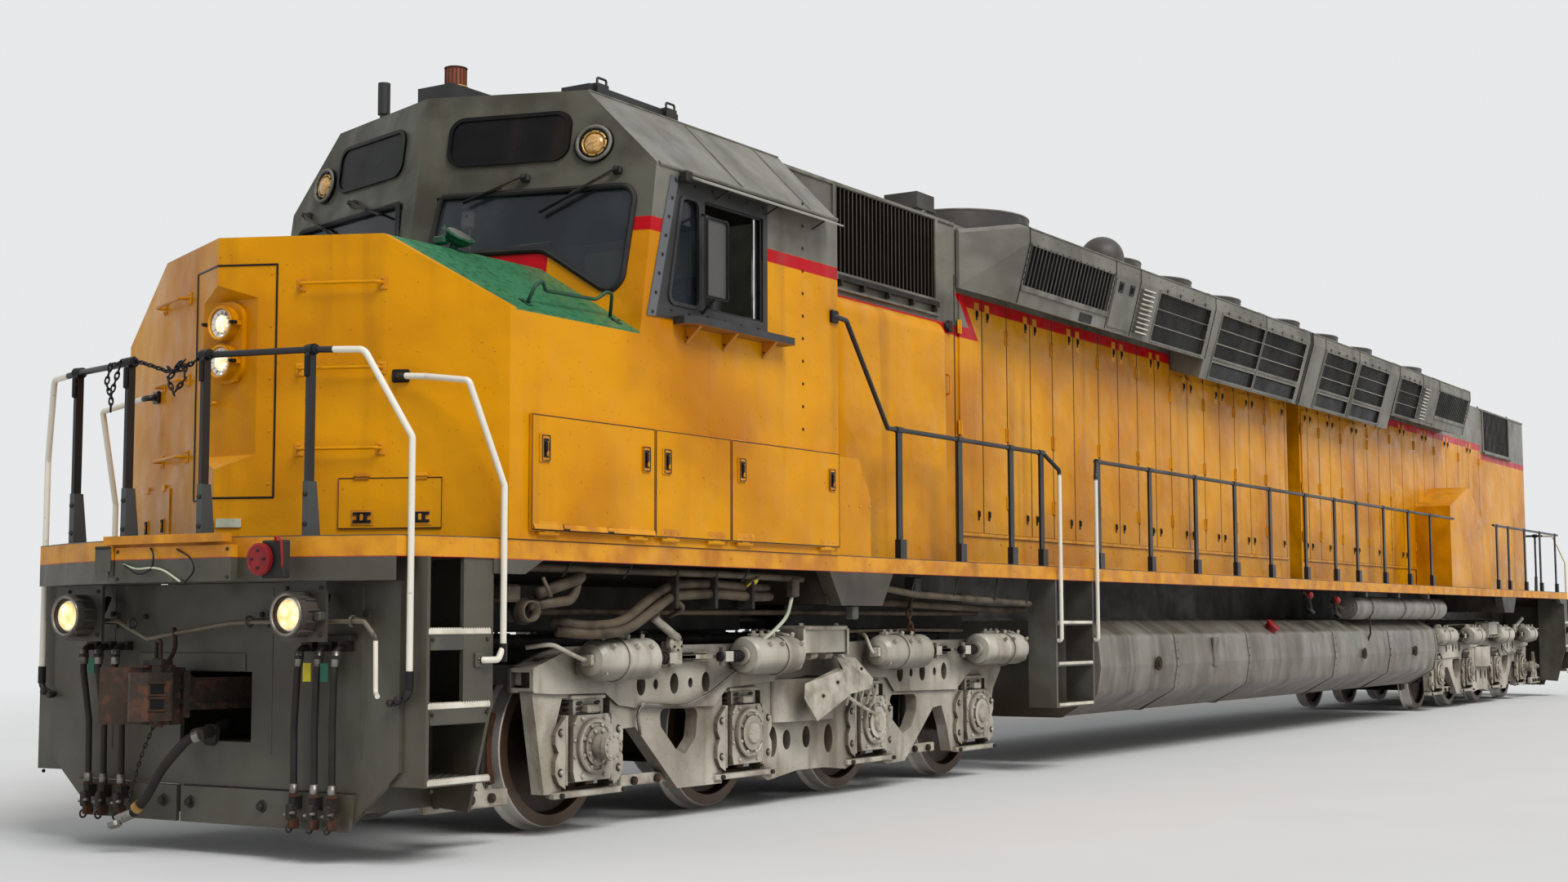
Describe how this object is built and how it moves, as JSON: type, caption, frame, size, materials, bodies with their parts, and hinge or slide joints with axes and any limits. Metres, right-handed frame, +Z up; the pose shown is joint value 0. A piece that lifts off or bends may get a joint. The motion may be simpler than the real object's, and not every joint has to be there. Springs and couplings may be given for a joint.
{
  "type": "twin-engine diesel locomotive",
  "caption": "Wide-nose diesel locomotive with a raked cab, long hoods with flared radiator housings and four-axle trucks that swivel; doors, couplers and wheels move.",
  "frame": {"origin": "middle of the locomotive at the lowest point of the wheel flanges", "axes": "+X to the front (nose), +Y to the left side, +Z up"},
  "size_m": [29.9952, 3.454, 5.2749],
  "materials": {
    "body_yellow": "gloss paint, weathered",
    "roof_gray": "weathered paint",
    "frame_gray": "dirty satin paint",
    "truck_silver": "silver paint over castings",
    "rail_black": "satin paint",
    "rusty_steel": "rusted casting",
    "wheel_steel": "worn tread, rusty disc",
    "engine_iron": "oily casting",
    "window_glass": "tinted safety glass",
    "interior_gray": "interior paint",
    "lamp_black": "gloss black",
    "hose_rubber": "matte hose"
  },
  "bodies": {
    "carbody": {"air_reservoirs": "frame_gray", "blower_housings": "body_yellow", "cab_glazing": "window_glass", "cab_interior": "interior_gray", "cab_lamps": "lamp_black", "cab_shell": "body_yellow", "cab_window_gear": "rail_black", "control_hoses_front": "hose_rubber", "control_hoses_rear": "hose_rubber", "ditch_lamps_front": "frame_gray", "ditch_lamps_rear": "frame_gray", "engine_blocks": "engine_iron", "engine_hood_front": "body_yellow", "engine_hood_rear": "body_yellow", "front_pilot": "frame_gray", "fuel_tank": "frame_gray", "handrails_front": "rail_black", "handrails_left": "rail_black", "handrails_rear": "rail_black", "handrails_right": "rail_black", "hood_intake_front": "body_yellow", "hood_intake_rear": "body_yellow", "nose_shell": "body_yellow", "radiator_housing_front": "roof_gray", "radiator_housing_rear": "roof_gray", "rear_pilot": "frame_gray", "rear_side_boxes": "body_yellow", "roof_fans": "roof_gray", "roof_gear": "lamp_black", "side_ladders": "frame_gray", "underframe": "frame_gray"},
    "nose_door": {"nose_door": "body_yellow", "headlight": "body_yellow"},
    "cab_door_left": {"cab_door_left": "body_yellow"},
    "cab_door_right": {"cab_door_right": "body_yellow"},
    "coupler_front": {"coupler_front": "rusty_steel"},
    "coupler_rear": {"coupler_rear": "rusty_steel"},
    "truck_front": {"truck_frame_front": "truck_silver", "brake_cylinders_front": "truck_silver", "traction_motors_front": "engine_iron"},
    "truck_rear": {"truck_frame_rear": "truck_silver", "brake_cylinders_rear": "truck_silver", "traction_motors_rear": "engine_iron"},
    "wheelset_1": {"wheelset_1": "wheel_steel"},
    "wheelset_2": {"wheelset_2": "wheel_steel"},
    "wheelset_3": {"wheelset_3": "wheel_steel"},
    "wheelset_4": {"wheelset_4": "wheel_steel"},
    "wheelset_5": {"wheelset_5": "wheel_steel"},
    "wheelset_6": {"wheelset_6": "wheel_steel"},
    "wheelset_7": {"wheelset_7": "wheel_steel"},
    "wheelset_8": {"wheelset_8": "wheel_steel"},
    "locker_door_left_1": {"locker_door_left_1": "body_yellow"},
    "locker_door_left_2": {"locker_door_left_2": "body_yellow"},
    "locker_door_left_3": {"locker_door_left_3": "body_yellow"},
    "locker_door_right_1": {"locker_door_right_1": "body_yellow"},
    "locker_door_right_2": {"locker_door_right_2": "body_yellow"},
    "locker_door_right_3": {"locker_door_right_3": "body_yellow"}
  },
  "joints": [
    {"name": "truck_front_swivel", "type": "hinge", "parent": "carbody", "child": "truck_front", "pos_m": [9.906, 0, 1.235], "axis": [0, 0, 1], "range_deg": [-5, 5]},
    {"name": "truck_rear_swivel", "type": "hinge", "parent": "carbody", "child": "truck_rear", "pos_m": [-9.906, 0, 1.235], "axis": [0, 0, 1], "range_deg": [-5, 5]},
    {"name": "wheelset_1_turn", "type": "hinge", "parent": "truck_front", "child": "wheelset_1", "pos_m": [12.516, 0, 0.533], "axis": [0, 1, 0], "continuous": true},
    {"name": "wheelset_2_turn", "type": "hinge", "parent": "truck_front", "child": "wheelset_2", "pos_m": [10.776, 0, 0.533], "axis": [0, 1, 0], "continuous": true},
    {"name": "wheelset_3_turn", "type": "hinge", "parent": "truck_front", "child": "wheelset_3", "pos_m": [9.036, 0, 0.533], "axis": [0, 1, 0], "continuous": true},
    {"name": "wheelset_4_turn", "type": "hinge", "parent": "truck_front", "child": "wheelset_4", "pos_m": [7.296, 0, 0.533], "axis": [0, 1, 0], "continuous": true},
    {"name": "wheelset_5_turn", "type": "hinge", "parent": "truck_rear", "child": "wheelset_5", "pos_m": [-7.296, 0, 0.533], "axis": [0, 1, 0], "continuous": true},
    {"name": "wheelset_6_turn", "type": "hinge", "parent": "truck_rear", "child": "wheelset_6", "pos_m": [-9.036, 0, 0.533], "axis": [0, 1, 0], "continuous": true},
    {"name": "wheelset_7_turn", "type": "hinge", "parent": "truck_rear", "child": "wheelset_7", "pos_m": [-10.776, 0, 0.533], "axis": [0, 1, 0], "continuous": true},
    {"name": "wheelset_8_turn", "type": "hinge", "parent": "truck_rear", "child": "wheelset_8", "pos_m": [-12.516, 0, 0.533], "axis": [0, 1, 0], "continuous": true},
    {"name": "coupler_front_swing", "type": "hinge", "parent": "carbody", "child": "coupler_front", "pos_m": [13.87, 0, 0.895], "axis": [0, 0, 1], "range_deg": [-1, 29]},
    {"name": "coupler_rear_swing", "type": "hinge", "parent": "carbody", "child": "coupler_rear", "pos_m": [-13.87, 0, 0.895], "axis": [0, 0, 1], "range_deg": [-15, 15]},
    {"name": "nose_door_hinge", "type": "hinge", "parent": "carbody", "child": "nose_door", "pos_m": [14.34219, 0.323, 2.6625], "axis": [0, 0, -1], "range_deg": [0, 90]},
    {"name": "cab_door_left_hinge", "type": "hinge", "parent": "carbody", "child": "cab_door_left", "pos_m": [10.238, 1, 3.375], "axis": [0, 0, 1], "range_deg": [0, 90]},
    {"name": "cab_door_right_hinge", "type": "hinge", "parent": "carbody", "child": "cab_door_right", "pos_m": [10.238, -1, 3.375], "axis": [0, 0, -1], "range_deg": [0, 90]},
    {"name": "locker_left_1_hinge", "type": "hinge", "parent": "carbody", "child": "locker_door_left_1", "pos_m": [13.0835, 1.586, 1.791], "axis": [-1, 0, 0], "range_deg": [0, 90]},
    {"name": "locker_left_2_hinge", "type": "hinge", "parent": "carbody", "child": "locker_door_left_2", "pos_m": [12.068, 1.586, 1.791], "axis": [-1, 0, 0], "range_deg": [0, 90]},
    {"name": "locker_left_3_hinge", "type": "hinge", "parent": "carbody", "child": "locker_door_left_3", "pos_m": [10.961, 1.586, 1.791], "axis": [-1, 0, 0], "range_deg": [0, 90]},
    {"name": "locker_right_1_hinge", "type": "hinge", "parent": "carbody", "child": "locker_door_right_1", "pos_m": [13.0835, -1.586, 1.791], "axis": [1, 0, 0], "range_deg": [0, 90]},
    {"name": "locker_right_2_hinge", "type": "hinge", "parent": "carbody", "child": "locker_door_right_2", "pos_m": [12.068, -1.586, 1.791], "axis": [1, 0, 0], "range_deg": [0, 90]},
    {"name": "locker_right_3_hinge", "type": "hinge", "parent": "carbody", "child": "locker_door_right_3", "pos_m": [10.961, -1.586, 1.791], "axis": [1, 0, 0], "range_deg": [0, 90]}
  ]
}
